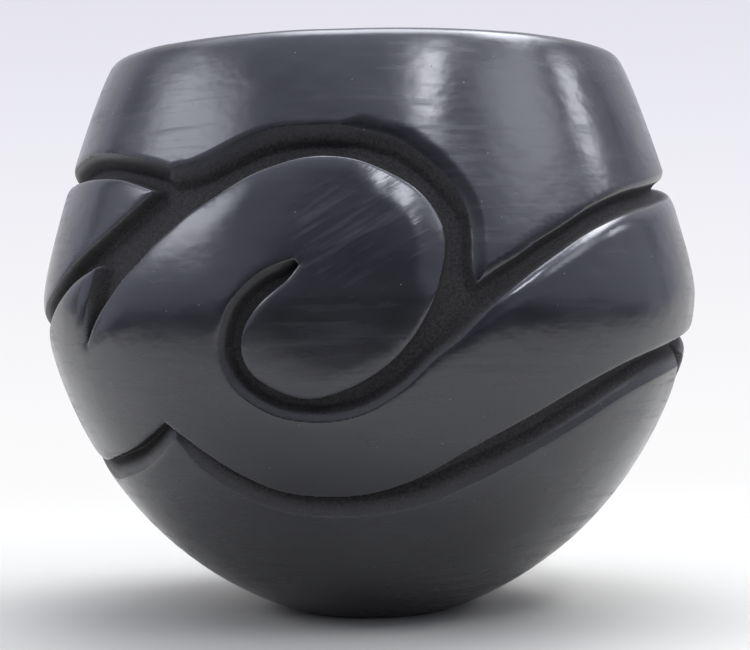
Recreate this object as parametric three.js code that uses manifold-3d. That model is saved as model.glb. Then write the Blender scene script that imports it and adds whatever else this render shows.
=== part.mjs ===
// A hand-built blackware jar: a low round pot with a deep wave-and-curl relief carved round its wall.
// Millimetres, +Z up, the foot on z = 0. The front, with the big curl, faces -Y.
import * as THREE from 'three'
import { mergeVertices } from 'three/addons/utils/BufferGeometryUtils.js'
import Module from 'manifold-3d'

// Overall form
const height = 107.3
const bellyRadius = 63.5
const bellyHeight = 61
const footRadius = 15.5
const shoulderEndRadius = 50

// How the outline leaves each of its ends: angles in degrees, and the reach of each curve's handle
const footRise = 18
const footReach = 37.5
const bellyReachDown = 12.7
const bellyReachUp = 7.2
const lipLean = 29
const lipReach = 8

// The clay wall and the pieces of clay it is raised from
const wallThickness = 7.2
const floorThickness = 8
const lipRadius = wallThickness / 2

// Where one piece of clay ends and the next begins, below and above the belly
const baseSeamDrop = 41
const lowerSeamDrop = 27
const shoulderSeamRise = 10

// The carving
const carveDepth = 3.2
const steepWall = 0.8
const crispWall = 1.4
const softWall = 2.4
const softShare = 0.4
const leastGrooveWidth = 0.3
const repeats = 2

// How finely the round forms are faceted
const segments = 72
const outlineSteps = 10
const lipSteps = 4
const stationsPerSpan = 2

// Working allowances: how far a cutter stands over the surface, how far the seams' slabs pass the
// foot and the lip, how far the inside wall stops short of the floor, and what counts as one point
const cutterLift = 1.5
const slabMargin = 1
const floorMargin = 1
const samePoint = 0.01
const weldTolerance = 1e-4
const halvings = 30

// Each groove lies between the sides on its left and right hand as it runs on. A side is a list of
// runs of points, smooth inside a run and sharp where two runs meet. A point is degrees round the
// jar from the front, then millimetres above the belly.
// The curl's groove starts in a notch, runs over the curl, down its right side and winds in below it.
const curlGroove = {
  left: [
    [[-54.5, -7.6], [-53.2, -3.3], [-52.1, -0.1], [-51.3, 3.1], [-50.7, 5.9]],
    [[-50.7, 5.9], [-44.8, 12.4], [-38.8, 18.9]],
    [[-38.8, 18.9], [-35.1, 23]],
    [[-35.1, 23], [-29.5, 24.9], [-20.6, 28.1], [-10, 29.4], [0, 30.1], [8, 27.8],
      [13.8, 21.4], [17.3, 14.6], [18.7, 8.6], [19, 3.7]],
    [[19, 3.7], [14.4, -7.4]],
    [[14.4, -7.4], [10.3, -10.8], [5.2, -16], [-1.5, -19.9], [-8.9, -21], [-16.7, -19.6],
      [-22.5, -15.1], [-24.2, -10.1], [-23.6, -5.8], [-21.7, -1.2], [-18.2, 3.2], [-15, 5.4],
      [-11.7, 6.6]],
  ],
  right: [
    [[-54.1, -7.6], [-50, -3], [-46.3, 0.4], [-42.9, 4], [-40, 6.6], [-37.5, 9.2], [-34, 12.1],
      [-30.5, 14.8], [-26, 17.5], [-19, 21.3], [-9.5, 23.8], [-2, 23.2], [4.5, 20.7], [9.2, 17.2],
      [12, 12.2], [12.3, 8], [11.4, 3.8], [9.6, -2], [6.1, -8.3], [2, -12.6], [-3.4, -15.8],
      [-10, -17.5], [-15.5, -15.8], [-19.2, -12.8], [-20.4, -9.6], [-19.8, -5.6], [-17.9, -2.4],
      [-15.1, 0.8], [-12.6, 3.2], [-10.6, 5.7]],
  ],
  leftWall: softWall,
  rightWall: steepWall,
}

// The band's groove runs right from the foot of the curl, under the plain rim zone, to the next curl.
const bandGroove = {
  left: [
    [[15.9, 5.5], [19, 3.7]],
    [[19, 3.7], [21.8, 5.4], [25.8, 8], [32, 11.7], [40, 15.2], [50, 18.1], [62, 20], [80, 22.4],
      [100, 25.3], [120, 27], [132, 25.7], [139.7, 24.4], [144.9, 23]],
    [[144.9, 23], [148.6, 18.9]],
  ],
  right: [
    [[11.3, -5.8], [14.4, -7.4]],
    [[14.4, -7.4], [19.5, -2], [25, 2.7], [32, 7.1], [40, 11], [50, 14], [62, 16.1],
      [80, 18.6], [100, 21.3], [120, 22.2], [131, 21.5], [137, 20.1], [141.2, 18.9]],
    [[141.2, 18.9], [145.2, 16.4]],
  ],
  leftWall: crispWall,
  rightWall: softWall,
}

// The wave's groove falls under the wave, peaks, dips below the curl and rises right to the next one.
const waveGroove = {
  left: [
    [[-104, -9.5], [-102, -12]],
    [[-102, -12], [-95, -18], [-87, -24.5], [-79, -28.8], [-70, -30], [-60, -28.7], [-50, -26.5],
      [-43, -23.8], [-38.2, -21.5]],
    [[-38.2, -21.5], [-32, -26.3], [-25.6, -30.5], [-18, -33.6], [-9, -34.6], [0, -34], [9, -31.3],
      [18, -26.4], [28, -21.3], [38, -16.2], [48, -12.4], [60, -9.7], [74, -7.6], [82, -6.5],
      [95, -3.6], [106, -0.5], [114, 2.8], [122.6, 7.6], [130, 11.5], [136, 15.3], [141.2, 18.9]],
  ],
  right: [
    [[-110, -11], [-107, -14]],
    [[-107, -14], [-98.5, -21], [-89.5, -28], [-80, -32.4], [-70, -33.6], [-60, -32.5], [-50, -30.5],
      [-42.5, -27.5], [-37, -24.2]],
    [[-37, -24.2], [-33.9, -29.2], [-27, -34.1], [-18, -37.3], [-8, -38.2], [1, -37.7], [11, -36],
      [22, -32.3], [32, -27], [41, -21.1], [50, -16.8], [61, -14.4], [73, -14]],
    [[73, -14], [78, -12]],
    [[78, -12], [93, -8.6], [106, -4.6], [115.5, -0.4], [123, 3.6], [129.3, 5.9]],
    [[129.3, 5.9], [137.8, 9.9], [143.7, 16]],
  ],
  leftWall: steepWall,
  rightWall: softWall,
}

const wasm = await Module()
wasm.setup()

const radians = THREE.MathUtils.degToRad

// The outside as two curves that meet at the belly, and the arc over the lip
function outsideCurves() {
  const rise = radians(footRise)
  const lean = radians(lipLean)
  const lipTangentHeight = height - lipRadius * (1 - Math.sin(lean))
  const belly = new THREE.Vector2(bellyRadius, bellyHeight)
  const shoulderEnd = new THREE.Vector2(shoulderEndRadius, lipTangentHeight)
  const lower = new THREE.CubicBezierCurve(
    new THREE.Vector2(footRadius, 0),
    new THREE.Vector2(footRadius + footReach * Math.cos(rise), footReach * Math.sin(rise)),
    new THREE.Vector2(bellyRadius, bellyHeight - bellyReachDown),
    belly,
  )
  const upper = new THREE.CubicBezierCurve(
    belly,
    new THREE.Vector2(bellyRadius, bellyHeight + bellyReachUp),
    new THREE.Vector2(
      shoulderEndRadius + lipReach * Math.sin(lean), lipTangentHeight - lipReach * Math.cos(lean),
    ),
    shoulderEnd,
  )
  return { lower, upper, lean, shoulderEnd }
}

const outside = outsideCurves()

// The radius and the outward normal of the outside at a height, found by halving the curve
function outsideAt(z) {
  const curve = z < bellyHeight ? outside.lower : outside.upper
  let low = 0
  let high = 1
  for (let halving = 0; halving < halvings; halving += 1) {
    const middle = (low + high) / 2
    if (curve.getPoint(middle).y < z) low = middle
    else high = middle
  }
  const tangent = curve.getTangent(low)
  return { radius: curve.getPoint(low).x, normalR: tangent.y, normalZ: -tangent.x }
}

// A point on the jar's outside, or the given depth under it, at degrees round and mm over the belly
function onJar(degrees, overBelly, depth) {
  const z = bellyHeight + overBelly
  const surface = outsideAt(z)
  const radius = surface.radius - depth * surface.normalR
  const turn = radians(degrees)
  return new THREE.Vector3(
    radius * Math.sin(turn), -radius * Math.cos(turn), z - depth * surface.normalZ,
  )
}

// The section of the clay from the axis: foot, outside, lip, inside and floor
function wallSection() {
  const below = outside.lower.getPoints(outlineSteps)
  const above = outside.upper.getPoints(outlineSteps)
  const outer = [...below, ...above.slice(1)]
  const { lean, shoulderEnd } = outside
  const lipCentre = new THREE.Vector2(
    shoulderEnd.x - lipRadius * Math.cos(lean), shoulderEnd.y - lipRadius * Math.sin(lean),
  )
  const arc = (from, to) => new THREE.EllipseCurve(
    lipCentre.x, lipCentre.y, lipRadius, lipRadius, from, to,
  ).getPoints(lipSteps)
  const lip = [...arc(lean, Math.PI / 2).slice(1), ...arc(Math.PI / 2, Math.PI + lean).slice(1, -1)]
  const inner = []
  for (const curve of [outside.upper, outside.lower]) {
    for (let step = 0; step <= outlineSteps; step += 2) {
      const along = 1 - step / outlineSteps
      const point = curve.getPoint(along)
      const tangent = curve.getTangent(along)
      inner.push(new THREE.Vector2(
        point.x - wallThickness * tangent.y, point.y + wallThickness * tangent.x,
      ))
    }
  }
  const insideWall = inner.filter((point, index) => point.y > floorThickness + floorMargin
    && (index === 0 || point.distanceTo(inner[index - 1]) > samePoint))
  const last = insideWall[insideWall.length - 1]
  const floorEdge = new THREE.Vector2(
    Math.min(footRadius + wallThickness, last.x - floorMargin), floorThickness,
  )
  return [
    new THREE.Vector2(0, 0), ...outer, ...lip, ...insideWall, floorEdge,
    new THREE.Vector2(0, floorThickness),
  ]
}

// A closed three.js geometry as a solid that can be cut
function solidFrom(geometry) {
  const bare = new THREE.BufferGeometry()
  bare.setAttribute('position', geometry.getAttribute('position'))
  if (geometry.index) bare.setIndex(geometry.index)
  const merged = mergeVertices(bare, weldTolerance)
  const corners = merged.index.array
  const kept = []
  for (let i = 0; i < corners.length; i += 3) {
    const [a, b, c] = [corners[i], corners[i + 1], corners[i + 2]]
    if (a !== b && b !== c && c !== a) kept.push(a, b, c)
  }
  return new wasm.Manifold(new wasm.Mesh({
    numProp: 3,
    vertProperties: new Float32Array(merged.getAttribute('position').array),
    triVerts: new Uint32Array(kept),
  }))
}

function geometryFrom(solid) {
  const mesh = solid.getMesh()
  const geometry = new THREE.BufferGeometry()
  geometry.setAttribute('position', new THREE.BufferAttribute(new Float32Array(mesh.vertProperties), 3))
  geometry.setIndex(new THREE.BufferAttribute(new Uint32Array(mesh.triVerts), 1))
  geometry.computeVertexNormals()
  return geometry
}

// The plain jar before carving, revolved about Z
function plainJar() {
  const lathe = new THREE.LatheGeometry(wallSection(), segments)
  lathe.rotateX(Math.PI / 2)
  return solidFrom(lathe)
}

// One side of a groove as a function of the span number along it
function sideCurve(runs) {
  const curves = runs.map((run) => new THREE.CatmullRomCurve3(
    run.map(([degrees, overBelly]) => new THREE.Vector3(degrees, overBelly, 0)), false, 'centripetal',
  ))
  const spans = runs.reduce((sum, run) => sum + run.length - 1, 0)
  const at = (span) => {
    let along = span
    let run = 0
    while (run < runs.length - 1 && along > runs[run].length - 1) {
      along -= runs[run].length - 1
      run += 1
    }
    return curves[run].getPoint(along / (runs[run].length - 1))
  }
  return { at, spans }
}

// The section of a groove's cutter at one place: three points on the floor and three over the surface
function cutterSection(leftPoint, rightPoint, groove) {
  const width = onJar(leftPoint.x, leftPoint.y, 0).distanceTo(onJar(rightPoint.x, rightPoint.y, 0))
  const across = Math.max(width, leastGrooveWidth)
  const leftWall = Math.min(groove.leftWall, softShare * across)
  const rightWall = Math.min(groove.rightWall, softShare * across)
  const depth = carveDepth * Math.min(1, across / (steepWall + softWall))
  const lift = cutterLift / depth
  const place = (share, down) => {
    const spot = leftPoint.clone().lerp(rightPoint, share)
    return onJar(spot.x, spot.y, down)
  }
  const floorStart = leftWall / across
  const floorEnd = 1 - rightWall / across
  const roofStart = -floorStart * lift
  const roofEnd = 1 + (1 - floorEnd) * lift
  return [
    place(floorStart, depth), place((floorStart + floorEnd) / 2, depth), place(floorEnd, depth),
    place(roofEnd, -cutterLift), place((roofStart + roofEnd) / 2, -cutterLift),
    place(roofStart, -cutterLift),
  ]
}

// A cutter swept along a groove between its two sides
function grooveCutter(groove) {
  const left = sideCurve(groove.left)
  const right = sideCurve(groove.right)
  const stations = left.spans * stationsPerSpan
  const sections = []
  for (let station = 0; station <= stations; station += 1) {
    const span = station / stationsPerSpan
    sections.push(cutterSection(left.at(span), right.at(span), groove))
  }
  const ring = sections[0].length
  const index = []
  for (let station = 0; station < stations; station += 1) {
    for (let corner = 0; corner < ring; corner += 1) {
      const a = station * ring + corner
      const b = station * ring + ((corner + 1) % ring)
      index.push(a, a + ring, b, b, a + ring, b + ring)
    }
  }
  const end = stations * ring
  for (let corner = 1; corner < ring - 1; corner += 1) {
    index.push(0, corner, corner + 1)
    index.push(end, end + corner + 1, end + corner)
  }
  const geometry = new THREE.BufferGeometry().setFromPoints(sections.flat())
  geometry.setIndex(index)
  return geometry
}

// The carved jar: every groove cut once for each repeat of the design round the wall
function carvedJar() {
  let jar = plainJar()
  for (const groove of [curlGroove, bandGroove, waveGroove]) {
    const cutter = grooveCutter(groove)
    for (let repeat = 0; repeat < repeats; repeat += 1) {
      const turned = cutter.clone().rotateZ((2 * Math.PI * repeat) / repeats)
      jar = jar.subtract(solidFrom(turned))
    }
  }
  return jar
}

// The piece of the jar between two heights
function ringOfClay(jar, from, to) {
  const width = 2 * bellyRadius + 2 * slabMargin
  const slab = new THREE.BoxGeometry(width, width, to - from)
  slab.translate(0, 0, (from + to) / 2)
  return jar.intersect(solidFrom(slab))
}

const blackware = new THREE.MeshStandardMaterial({ color: 0x1f2124, roughness: 0.25, metalness: 0 })

function pieceOfClay(name, jar, from, to) {
  const mesh = new THREE.Mesh(geometryFrom(ringOfClay(jar, from, to)), blackware.clone())
  mesh.name = name
  return mesh
}

const group = new THREE.Group()
group.name = 'pottery_jar'
const jar = carvedJar()
const carvingTop = bellyHeight + Math.max(...curlGroove.left.flat().map(([, overBelly]) => overBelly))
const seams = {
  foot: -slabMargin,
  base: bellyHeight - baseSeamDrop,
  lower: bellyHeight - lowerSeamDrop,
  shoulder: bellyHeight + shoulderSeamRise,
  rim: (carvingTop + height) / 2,
  lip: height + slabMargin,
}
group.add(pieceOfClay('base', jar, seams.foot, seams.base))
group.add(pieceOfClay('lower_coil', jar, seams.base, seams.lower))
group.add(pieceOfClay('belly_coil', jar, seams.lower, seams.shoulder))
group.add(pieceOfClay('shoulder_coil', jar, seams.shoulder, seams.rim))
group.add(pieceOfClay('rim_coil', jar, seams.rim, seams.lip))

export default group
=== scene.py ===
# %% [markdown]
# A carved blackware jar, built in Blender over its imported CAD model.
# The real pot is one piece of fired clay: raised from coils, scraped smooth, carved with a wave and
# a curl while the clay was leather hard, rubbed with a stone until it shone, and smoked black.
# So the picture needs one fine skin with the carving in it, and one clay with two finishes.

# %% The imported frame
import bpy
import numpy as np
from mathutils import Matrix, Vector


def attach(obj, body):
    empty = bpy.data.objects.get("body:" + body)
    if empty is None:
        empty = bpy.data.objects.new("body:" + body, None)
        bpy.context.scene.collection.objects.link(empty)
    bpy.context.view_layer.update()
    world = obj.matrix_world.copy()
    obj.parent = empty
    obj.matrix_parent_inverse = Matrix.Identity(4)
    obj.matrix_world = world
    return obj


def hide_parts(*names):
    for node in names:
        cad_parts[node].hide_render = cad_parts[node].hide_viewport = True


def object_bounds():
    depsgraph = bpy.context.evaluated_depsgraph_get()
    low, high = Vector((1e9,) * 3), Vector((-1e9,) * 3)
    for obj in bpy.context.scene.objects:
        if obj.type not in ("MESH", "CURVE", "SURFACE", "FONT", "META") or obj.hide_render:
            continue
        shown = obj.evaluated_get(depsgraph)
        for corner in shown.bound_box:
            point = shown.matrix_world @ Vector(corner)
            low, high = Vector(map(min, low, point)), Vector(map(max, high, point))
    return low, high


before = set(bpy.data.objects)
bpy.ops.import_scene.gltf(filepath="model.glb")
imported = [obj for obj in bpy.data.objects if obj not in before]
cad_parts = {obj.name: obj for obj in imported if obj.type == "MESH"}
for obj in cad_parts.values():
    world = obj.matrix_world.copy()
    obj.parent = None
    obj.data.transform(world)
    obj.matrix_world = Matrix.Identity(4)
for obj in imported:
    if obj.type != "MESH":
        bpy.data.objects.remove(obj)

CAD_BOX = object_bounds()
HEIGHT = CAD_BOX[1][2]
BELLY_RADIUS = (CAD_BOX[1][0] - CAD_BOX[0][0]) / 2
MM = 0.001
print("CAD box in mm:", [[round(v / MM, 1) for v in corner] for corner in CAD_BOX])

# %% [markdown]
# The jar's outline is a lower curve from the small foot out to the belly and an upper curve from the
# belly in to the lip. A potter's curve has no corners, so each is one Bezier curve: an end, a handle
# that holds its direction there, and the same at the other end. That needs far fewer numbers than a
# traced line, and each of them can be changed by itself.

# %% Sizes of the wall
BELLY_HEIGHT = 61 * MM
FOOT_RADIUS = 15.5 * MM
FOOT_RISE = np.radians(18)
SHOULDER_END_RADIUS = 50 * MM
WALL = 7.2 * MM
LIP_RADIUS = WALL / 2
LIP_LEAN = np.radians(29)
FOOT_HANDLE, LIP_HANDLE = 37.5 * MM, 8 * MM
BELLY_HANDLE_DOWN, BELLY_HANDLE_UP = 12.7 * MM, 7.2 * MM
lip_tangent = HEIGHT - LIP_RADIUS * (1 - np.sin(LIP_LEAN))
print(f"the wall ends and the lip starts {lip_tangent / MM:.1f} mm up")

# %% The outline of the wall
CURVE_STEPS = 600


def bezier(a, b, c, d):
    """Places along a Bezier curve from a to d, with its handles at b and c."""
    t = np.linspace(0, 1, CURVE_STEPS)[:, None]
    a, b, c, d = (np.array(p, float) for p in (a, b, c, d))
    return (1 - t) ** 3 * a + 3 * (1 - t) ** 2 * t * b + 3 * (1 - t) * t ** 2 * c + t ** 3 * d


lower = bezier(
    (FOOT_RADIUS, 0),
    (FOOT_RADIUS + FOOT_HANDLE * np.cos(FOOT_RISE), FOOT_HANDLE * np.sin(FOOT_RISE)),
    (BELLY_RADIUS, BELLY_HEIGHT - BELLY_HANDLE_DOWN),
    (BELLY_RADIUS, BELLY_HEIGHT),
)
upper = bezier(
    (BELLY_RADIUS, BELLY_HEIGHT),
    (BELLY_RADIUS, BELLY_HEIGHT + BELLY_HANDLE_UP),
    (SHOULDER_END_RADIUS + LIP_HANDLE * np.sin(LIP_LEAN), lip_tangent - LIP_HANDLE * np.cos(LIP_LEAN)),
    (SHOULDER_END_RADIUS, lip_tangent),
)
wall_line = np.vstack([lower, upper[1:]])
steps_along = np.linalg.norm(np.diff(wall_line, axis=0), axis=1)
wall_length = np.concatenate([[0], np.cumsum(steps_along)])
tangent = np.gradient(wall_line, wall_length, axis=0)
tangent /= np.linalg.norm(tangent, axis=1)[:, None]
print(f"wall outline {wall_length[-1] / MM:.1f} mm long from the foot to the lip")


# %% Places on the wall
def on_wall(along):
    """Radius, height and outward normal of the wall at a distance along its outline from the foot."""
    columns = (wall_line[:, 0], wall_line[:, 1], tangent[:, 1], -tangent[:, 0])
    return [np.interp(along, wall_length, column) for column in columns]


def along_at(height):
    """The distance along the outline at a height."""
    return np.interp(height, wall_line[:, 1], wall_length)


print(f"the belly is {along_at(BELLY_HEIGHT) / MM:.1f} mm along it")

# %% [markdown]
# The gouge left a different edge in each place: a steep wall round the curl, a flat facet over it, a
# soft shoulder on the band. A section says how the depth grows with the distance from the edge, and
# how the clay outside is drawn down towards it: over how far, whether in a flat slope (power 1) or a
# rounded pillow (power 2 to 3), and how much more in the last millimetre, the rubbed arris.

# %% Sections across an edge
CARVE_DEPTH = 3.2 * MM
SECTIONS = {
    # share of the depth at the edge, mm to the knee, share there, mm to the full depth,
    # then outside: mm drawn down, its power, and the arris's share of the depth
    "facet": (0.12, 2.2, 0.55, 3.2, 1.0, 1.1, 0.02),
    "over": (0.04, 2.2, 0.55, 3.0, 0.6, 1.5, 0.02),
    "slope": (0.34, 1.7, 0.70, 2.4, 2.1, 1.25, 0.03),
    "slope_side": (0.34, 0.6, 0.80, 1.2, 2.4, 1.25, 0.03),
    "bevel": (0.27, 0.7, 0.75, 1.4, 1.8, 1.15, 0.02),
    "narrow": (0.20, 0.7, 0.75, 1.4, 1.1, 1.2, 0.02),
    "soft": (0.05, 1.8, 0.75, 2.4, 0.8, 1.3, 0.02),
    "curl": (0.24, 0.7, 0.90, 1.3, 7.0, 2.6, 0.04),
    "crown": (0.14, 0.7, 0.90, 1.3, 2.5, 1.5, 0.05),
    "cheek": (0.38, 0.7, 0.90, 1.3, 5.0, 1.25, 0.04),
    "head": (0.14, 0.7, 0.90, 1.3, 4.0, 2.4, 0.08),
    "turn": (0.12, 0.9, 0.55, 1.5, 4.0, 2.6, 0.03),
    "spiral": (0.06, 1.0, 0.36, 1.5, 2.5, 2.6, 0.02),
    "band": (0.28, 0.9, 0.80, 1.8, 2.3, 1.6, 0.04),
    "leaf": (0.08, 0.7, 0.90, 1.2, 3.0, 2.6, 0.04),
    "horn": (0.12, 1.1, 0.70, 1.8, 4.0, 2.6, 0.03),
    "wave": (0.08, 0.5, 0.90, 1.0, 3.5, 2.6, 0.05),
    "base": (0.03, 2.2, 0.50, 3.4, 1.2, 1.5, 0.01),
    "ledge": (0.03, 1.2, 0.25, 2.8, 0.8, 1.5, 0.01),
}
print(f"{len(SECTIONS)} sections, for a carving {CARVE_DEPTH / MM:.1f} mm deep")

# %% [markdown]
# The carving is three grooves: one round the curl, one under the plain zone at the rim, and one
# under the wave. Each has a left and a right side, read off the photograph as places on the jar:
# degrees round from the front, and millimetres over the belly. A named section holds from there on,
# changing evenly up to the next name; a run without names is open, where another groove joins.

# %% The lines of the carving
GROOVES = [
    (
        [
            [(-54.5, -7.6, "horn"), (-53.2, -3.3), (-52.1, -0.1), (-51.3, 3.1), (-50.7, 5.9, "horn")],
            [(-50.7, 5.9), (-38.8, 18.9)],
            [(-38.8, 18.9), (-35.1, 22.8)],
            [(-35.1, 22.8, "facet"), (-31.4, 23.2), (-29.5, 23.8), (-26.6, 24.9), (-20.3, 27.6),
             (-16.3, 28.7, "facet"), (-9.6, 29.2, "over"), (-4.5, 29, "over"), (-1, 28.3, "slope"),
             (2.4, 27.4), (5.8, 26.4), (9.8, 23.7), (12.2, 21.6), (14.5, 18.8, "slope"), (16, 15.9),
             (16.7, 12.2, "slope_side"), (16.5, 8), (16.3, 4.2), (16.9, 2, "slope_side")],
            [(16.9, 2), (14.4, -7.4)],
            [(14.4, -7.4, "turn"), (10.3, -10.8), (5.2, -16, "spiral"), (-1.5, -19.9), (-8.9, -21),
             (-16.7, -19.6), (-22.5, -15.1), (-24.2, -10.1), (-23.6, -5.8), (-21.7, -1.2),
             (-18.2, 3.2), (-15, 5.4), (-11.7, 6.6, "spiral")],
        ],
        [
            [(-54.1, -7.6, "horn"), (-50, -3, "curl"), (-46.3, 0.4), (-42.9, 4), (-40, 6.6),
             (-37.5, 9.2), (-34, 12.1), (-30.5, 14.8), (-26, 17.5, "curl"), (-19, 21.3),
             (-9.5, 23.8, "crown"), (-2, 23.2, "crown"), (4.5, 20.7, "cheek"), (9.2, 17.2), (12, 12.2),
             (12.3, 8), (11.4, 3.8, "cheek"), (9.6, -2), (6.1, -8.3, "head"), (2, -12.6),
             (-3.4, -15.8), (-10, -17.5), (-15.5, -15.8), (-19.2, -12.8), (-20.4, -9.6),
             (-19.8, -5.6), (-17.9, -2.4), (-15.1, 0.8), (-12.6, 3.2, "head"), (-10.6, 5.7, "spiral")],
        ],
    ),
    (
        [
            [(14.5, 3), (16.9, 2)],
            [(16.9, 2, "bevel"), (20.3, 4.3), (23.9, 6.4), (27.8, 8.8), (32.1, 11, "bevel"),
             (40, 14.8, "narrow"), (50, 17.9), (62, 19.9), (80, 22.4, "narrow"), (100, 25.3, "soft"),
             (120, 27), (132, 25.7), (139.7, 24.2), (144.9, 22.8, "soft")],
            [(144.9, 22.8), (148.6, 18.9)],
        ],
        [
            [(11.3, -5.8), (14.4, -7.4)],
            [(14.4, -7.4, "turn"), (19.8, -1.6), (25, 2.7, "band"), (32, 7.1), (40, 11), (50, 14),
             (62, 16.1, "band"), (80, 18.6), (100, 21.3, "leaf"), (120, 22.2), (131, 21.5),
             (137, 20.1), (141.2, 18.9, "leaf")],
            [(141.2, 18.9), (145.2, 16.4)],
        ],
    ),
    (
        [
            [(-104, -9.5), (-102, -12)],
            [(-102, -12, "wave"), (-95, -18), (-87, -24.5), (-79, -28.8), (-70, -30), (-60, -28.7),
             (-50, -26.5), (-43, -23.8), (-38.2, -21.5, "wave")],
            [(-38.2, -21.5, "wave"), (-32, -26.3), (-25.6, -30.5), (-18, -33.6), (-9, -34.6), (0, -34),
             (9, -31.3), (18, -26.4), (28, -21.3), (38, -16.2), (48, -12.4), (60, -9.7), (74, -7.6),
             (82, -6.5), (95, -3.6), (106, -0.5), (114, 2.8), (122.6, 7.6), (130, 11.5), (136, 15.3),
             (141.2, 18.9, "leaf")],
        ],
        [
            [(-110, -11), (-107, -14)],
            [(-107, -14, "base"), (-98.5, -21), (-89.5, -28), (-80, -32.4), (-70, -33.6),
             (-60, -32.5), (-50, -30.5), (-42.5, -27.5), (-37, -24.2, "base")],
            [(-37, -24.2, "base"), (-33.9, -29.2), (-27, -34.1), (-18, -37.3), (-8, -38.2),
             (1, -37.7), (11, -36), (20, -32.6, "base"), (30, -28, "ledge"), (41, -22.4),
             (50, -18.2, "ledge"), (61, -15.4, "base"), (73, -14, "base")],
            [(73, -14), (78, -12)],
            [(78, -12, "horn"), (93, -8.6), (106, -4.6), (115.5, -0.4), (123, 3.6),
             (129.3, 5.9, "horn")],
            [(129.3, 5.9), (137.8, 9.9), (143.7, 16)],
        ],
    ),
]
REPEATS = 2
TURN = 2 * np.pi / REPEATS
print(f"{len(GROOVES)} grooves, cut {REPEATS} times round the jar")

# %% [markdown]
# A gouge moves in sweeps, so each run is a smooth curve through its places. A centripetal
# Catmull-Rom curve passes through every one of them and makes no loop between two close ones.

# %% A smooth line through the places of a run
STEPS = 8


def smooth_run(points):
    """A run as a line that passes smoothly through its points."""
    p = np.array([point[:2] for point in points], float)
    if len(p) == 2:
        return p
    p = np.vstack([2 * p[0] - p[1], p, 2 * p[-1] - p[-2]])
    line = []
    for a, b, c, d in zip(p[:-3], p[1:-2], p[2:-1], p[3:]):
        near, span, far = (np.sqrt(np.linalg.norm(v - u)) for u, v in ((a, b), (b, c), (c, d)))
        start = span * ((b - a) / near - (c - a) / (near + span) + (c - b) / span)
        end = span * ((c - b) / span - (d - b) / (span + far) + (d - c) / far)
        for t in np.linspace(0, 1, STEPS, endpoint=False):
            cubic = (2 * b - 2 * c + start + end) * t ** 3
            line.append(b + start * t + (3 * c - 3 * b - 2 * start - end) * t ** 2 + cubic)
    return np.array(line + [p[-2]])


def on_jar(line):
    """Degrees and millimetres over the belly, as radians round and metres along the outline."""
    return np.column_stack([np.radians(line[:, 0]), along_at(BELLY_HEIGHT + line[:, 1] * MM)])


longest = max((run for left, right in GROOVES for run in left + right), key=len)
print(f"the longest run has {len(longest)} places and makes a line of {len(smooth_run(longest))}")


# %% The edges, with the section at each place of them
def sections_along(points, count):
    """The section at each of that many places along a run, changing evenly between named points."""
    at = [i for i, point in enumerate(points) if len(point) > 2]
    values = np.array([SECTIONS[points[i][2]] for i in at])
    where = np.linspace(0, len(points) - 1, count)
    return np.column_stack([np.interp(where, at, column) for column in values.T])


edges, outlines = [], []
for left, right in GROOVES:
    sides = [[on_jar(smooth_run(run)) for run in side] for side in (left, right)]
    outlines.append(np.vstack(sides[0] + [line[::-1] for line in sides[1][::-1]]))
    for run, line in zip(left + right, sides[0] + sides[1]):
        if len(run[0]) > 2:
            edges.append((line, sections_along(run, len(line))))
print(f"{len(outlines)} closed outlines with {len(edges)} cut edges")

# %% [markdown]
# The depth at any spot comes from all the edges near it: inside a groove the shallowest section
# wins, and outside it the one that draws the clay down most. Where a groove narrows to a point, its
# walls are squeezed together so that it stays deep right into the tip, as a gouge leaves it.

# %% The edges as short pieces, round the jar
REACH = 8 * MM


def repeated(line):
    """The line and its repeats on both sides of it, with the section of each place if it has one."""
    shift = np.zeros(line.shape[1])
    shift[0] = TURN
    return [line + shift * k for k in range(-REPEATS, REPEATS + 1)]


edge_lines = [copy for line, sections in edges for copy in repeated(np.hstack([line, sections]))]
piece_starts, piece_ends = (
    np.vstack([line[part] for line in edge_lines]) for part in (slice(-1), slice(1, None)))
nearby = np.abs(piece_starts[:, 0]) < TURN / 2 + REACH / FOOT_RADIUS
piece_starts, piece_ends = piece_starts[nearby], piece_ends[nearby]
print(f"{len(piece_starts)} short pieces of edge in reach of one repeat")


# %% Inside or outside a groove
def inside_grooves(spots):
    """True where a spot lies within any groove, by counting the sides that a line across it meets."""
    found = np.zeros(len(spots), bool)
    for outline in outlines:
        for copy in repeated(outline):
            if copy[:, 0].max() < spots[:, 0].min() or copy[:, 0].min() > spots[:, 0].max():
                continue
            odd = np.zeros(len(spots), bool)
            for (ax, ay), (bx, by) in zip(copy, np.roll(copy, -1, axis=0)):
                if ay == by:
                    continue
                meets = (ay > spots[:, 1]) != (by > spots[:, 1])
                odd ^= meets & (spots[:, 0] < (bx - ax) * (spots[:, 1] - ay) / (by - ay) + ax)
            found |= odd
    return found


BAND_SPOT = on_jar(np.array([[40, 13]]))
print("a spot in the band is inside a groove:", bool(inside_grooves(BAND_SPOT)[0]))

# %% How deep a spot lies
# Two edges face each other across a groove when the cosine between the ways to them is under this.
OPPOSITE = -0.6
# A groove narrower than its full width is squeezed, to a fifth at the most.
FULL_WIDTH, MOST_SQUEEZED = 3.4 * MM, 0.2
# The arris's width is in mm, as the sections are.
ARRIS_WIDTH = 0.9


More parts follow.
